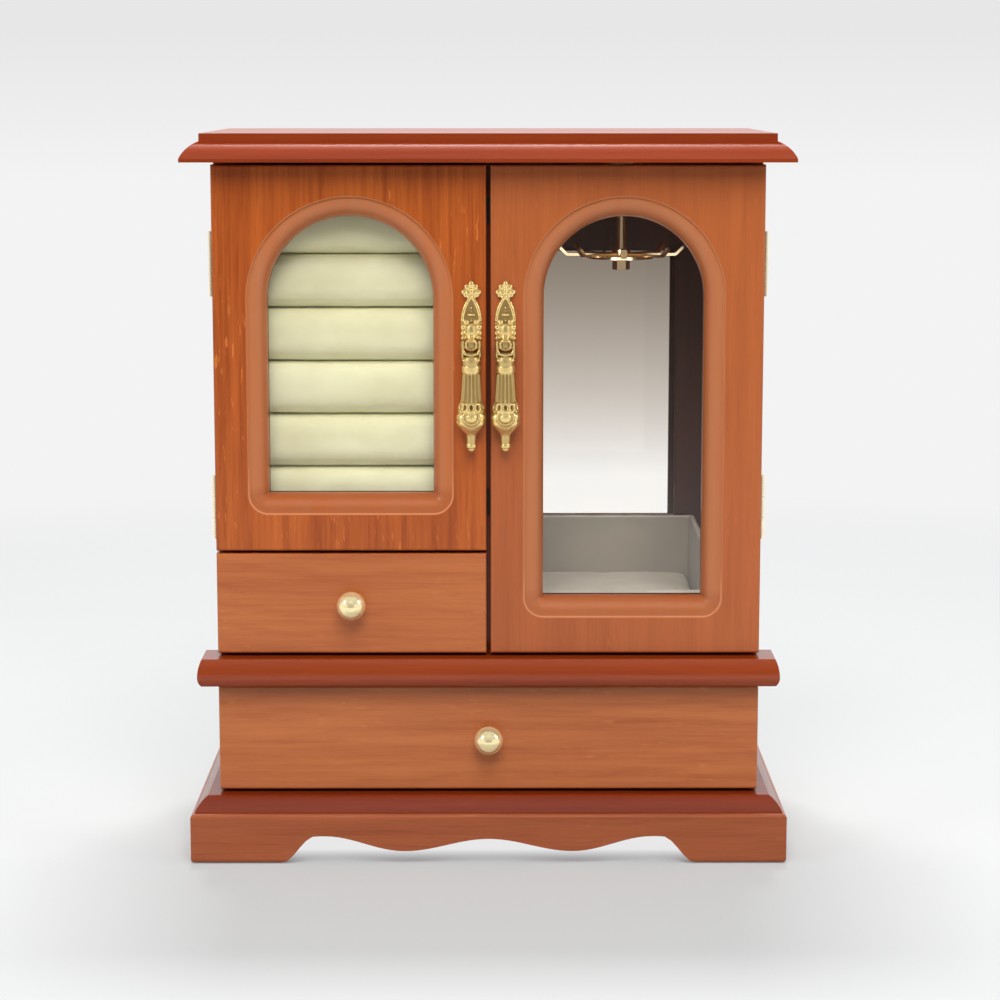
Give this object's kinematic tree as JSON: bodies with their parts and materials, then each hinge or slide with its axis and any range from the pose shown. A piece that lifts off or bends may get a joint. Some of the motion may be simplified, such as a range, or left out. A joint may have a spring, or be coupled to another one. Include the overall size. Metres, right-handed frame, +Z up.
{
  "type": "jewelry box",
  "caption": "Wooden cabinet jewelry box with arched glass doors, ring rolls, a necklace carousel with a pouch, and drawers.",
  "frame": {"origin": "middle of the footprint, at the surface the feet stand on", "axes": "+Z up, the doors and drawers face -Y, +X to the right seen from the front"},
  "size_m": [0.26, 0.15, 0.316],
  "materials": {
    "cherry_wood": "lacquered cherry stain",
    "dark_wood": "stained, thin lacquer",
    "raw_board": "plain board",
    "polished_brass": "polished",
    "window_glass": "clear",
    "mirror_glass": "silvered",
    "ring_fabric": "cream velvet",
    "pouch_fabric": "grey beige velvet",
    "dark_magnet": "matte ferrite",
    "steel_plate": "plated"
  },
  "bodies": {
    "cabinet": {"front_apron": "cherry_wood", "back_apron": "cherry_wood", "left_apron": "cherry_wood", "right_apron": "cherry_wood", "corner_blocks": "raw_board", "base_board": "cherry_wood", "left_side": "cherry_wood", "right_side": "cherry_wood", "back_panel": "dark_wood", "waist_board": "cherry_wood", "partition": "cherry_wood", "shelf": "cherry_wood", "crown_board": "cherry_wood", "mirror": "mirror_glass", "ring_tray": "ring_fabric", "ring_roll_1": "ring_fabric", "ring_roll_2": "ring_fabric", "ring_roll_3": "ring_fabric", "ring_roll_4": "ring_fabric", "ring_roll_5": "ring_fabric", "ring_roll_6": "ring_fabric", "pouch_shell": "pouch_fabric", "pouch_pad": "pouch_fabric", "carousel_plate": "polished_brass", "door_magnets": "dark_magnet", "left_hinge_frames": "polished_brass", "right_hinge_frames": "polished_brass"},
    "carousel": {"carousel_spindle": "polished_brass", "carousel_disc": "polished_brass", "carousel_hooks": "polished_brass", "carousel_cap": "polished_brass"},
    "left_door": {"left_door": "cherry_wood", "left_glass": "window_glass", "left_bead": "dark_wood", "left_hinge_leaves": "polished_brass", "left_strikes": "steel_plate", "left_pull_plate": "polished_brass"},
    "left_pull": {"left_pull_drop": "polished_brass"},
    "right_door": {"right_door": "cherry_wood", "right_glass": "window_glass", "right_bead": "dark_wood", "right_hinge_leaves": "polished_brass", "right_strikes": "steel_plate", "right_pull_plate": "polished_brass"},
    "right_pull": {"right_pull_drop": "polished_brass"},
    "upper_drawer": {"upper_drawer_front": "cherry_wood", "upper_drawer_left": "raw_board", "upper_drawer_right": "raw_board", "upper_drawer_back": "raw_board", "upper_drawer_bottom": "raw_board", "upper_drawer_lining": "ring_fabric", "upper_drawer_knob": "polished_brass"},
    "lower_drawer": {"lower_drawer_front": "cherry_wood", "lower_drawer_left": "raw_board", "lower_drawer_right": "raw_board", "lower_drawer_back": "raw_board", "lower_drawer_bottom": "raw_board", "lower_drawer_lining": "ring_fabric", "lower_drawer_knob": "polished_brass"}
  },
  "joints": [
    {"name": "left_door_swing", "type": "hinge", "parent": "cabinet", "child": "left_door", "pos_m": [-0.1195, -0.0504, 0.2], "axis": [0, 0, -1], "range_deg": [0, 110]},
    {"name": "right_door_swing", "type": "hinge", "parent": "cabinet", "child": "right_door", "pos_m": [0.1195, -0.0504, 0.2], "axis": [0, 0, 1], "range_deg": [0, 110]},
    {"name": "left_pull_swing", "type": "hinge", "parent": "left_door", "child": "left_pull", "pos_m": [-0.0073, -0.0678, 0.2267], "axis": [-1, 0, 0], "range_deg": [0, 80]},
    {"name": "right_pull_swing", "type": "hinge", "parent": "right_door", "child": "right_pull", "pos_m": [0.0073, -0.0678, 0.2267], "axis": [-1, 0, 0], "range_deg": [0, 80]},
    {"name": "upper_drawer_slide", "type": "slide", "parent": "cabinet", "child": "upper_drawer", "axis": [0, -1, 0], "range_m": [0, 0.085]},
    {"name": "lower_drawer_slide", "type": "slide", "parent": "cabinet", "child": "lower_drawer", "axis": [0, -1, 0], "range_m": [0, 0.085]},
    {"name": "carousel_spin", "type": "hinge", "parent": "cabinet", "child": "carousel", "pos_m": [0.0596, -0.001, 0.26], "axis": [0, 0, 1], "continuous": true}
  ]
}
